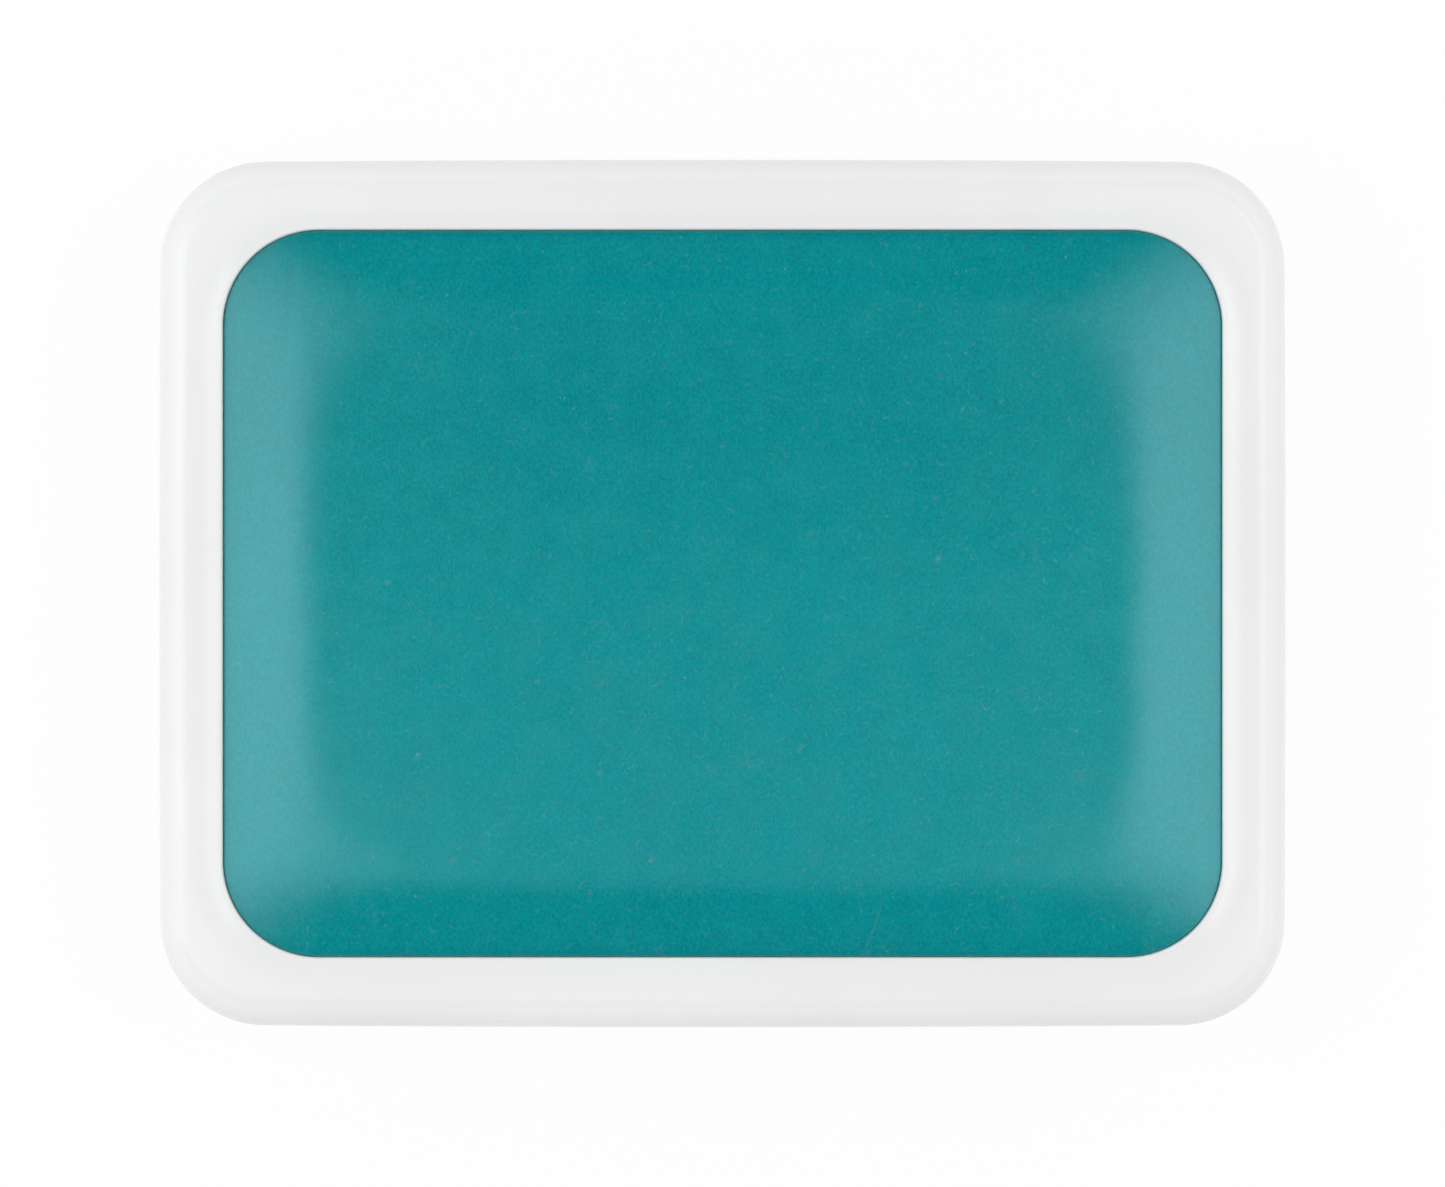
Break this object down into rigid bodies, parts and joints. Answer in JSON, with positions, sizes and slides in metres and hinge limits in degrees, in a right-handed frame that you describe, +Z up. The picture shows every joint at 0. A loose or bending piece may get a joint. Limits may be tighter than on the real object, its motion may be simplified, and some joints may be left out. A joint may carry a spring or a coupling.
{
  "type": "wet palette",
  "caption": "Shallow lidded box that keeps acrylic paint moist: tray with damp sponge and palette sheet, push-on lid with a rolled white rim and a raised soft pad.",
  "frame": {"origin": "under the middle of the footprint, at the level that the feet stand on", "axes": "+X along the long side to the right, +Y to the back, +Z up; the lid is closed at rest"},
  "size_m": [0.2, 0.154, 0.027],
  "materials": {
    "white_gloss": "gloss",
    "teal_pad": "satin",
    "white_satin": "satin",
    "seal_silicone": "satin",
    "sponge_foam": "matte",
    "palette_sheet": "matte",
    "foot_silicone": "matte"
  },
  "bodies": {
    "tray": {"tray_shell": "white_gloss", "sponge": "sponge_foam", "palette_sheet": "palette_sheet", "foot_front_left": "foot_silicone", "foot_front_right": "foot_silicone", "foot_back_left": "foot_silicone", "foot_back_right": "foot_silicone"},
    "lid": {"lid_frame": "white_gloss", "lid_pad": "teal_pad", "lid_deck": "white_satin", "lid_seal": "seal_silicone"}
  },
  "joints": [
    {"name": "lid_lift", "type": "slide", "parent": "tray", "child": "lid", "axis": [0, 0, 1], "range_m": [0, 0.08]}
  ]
}
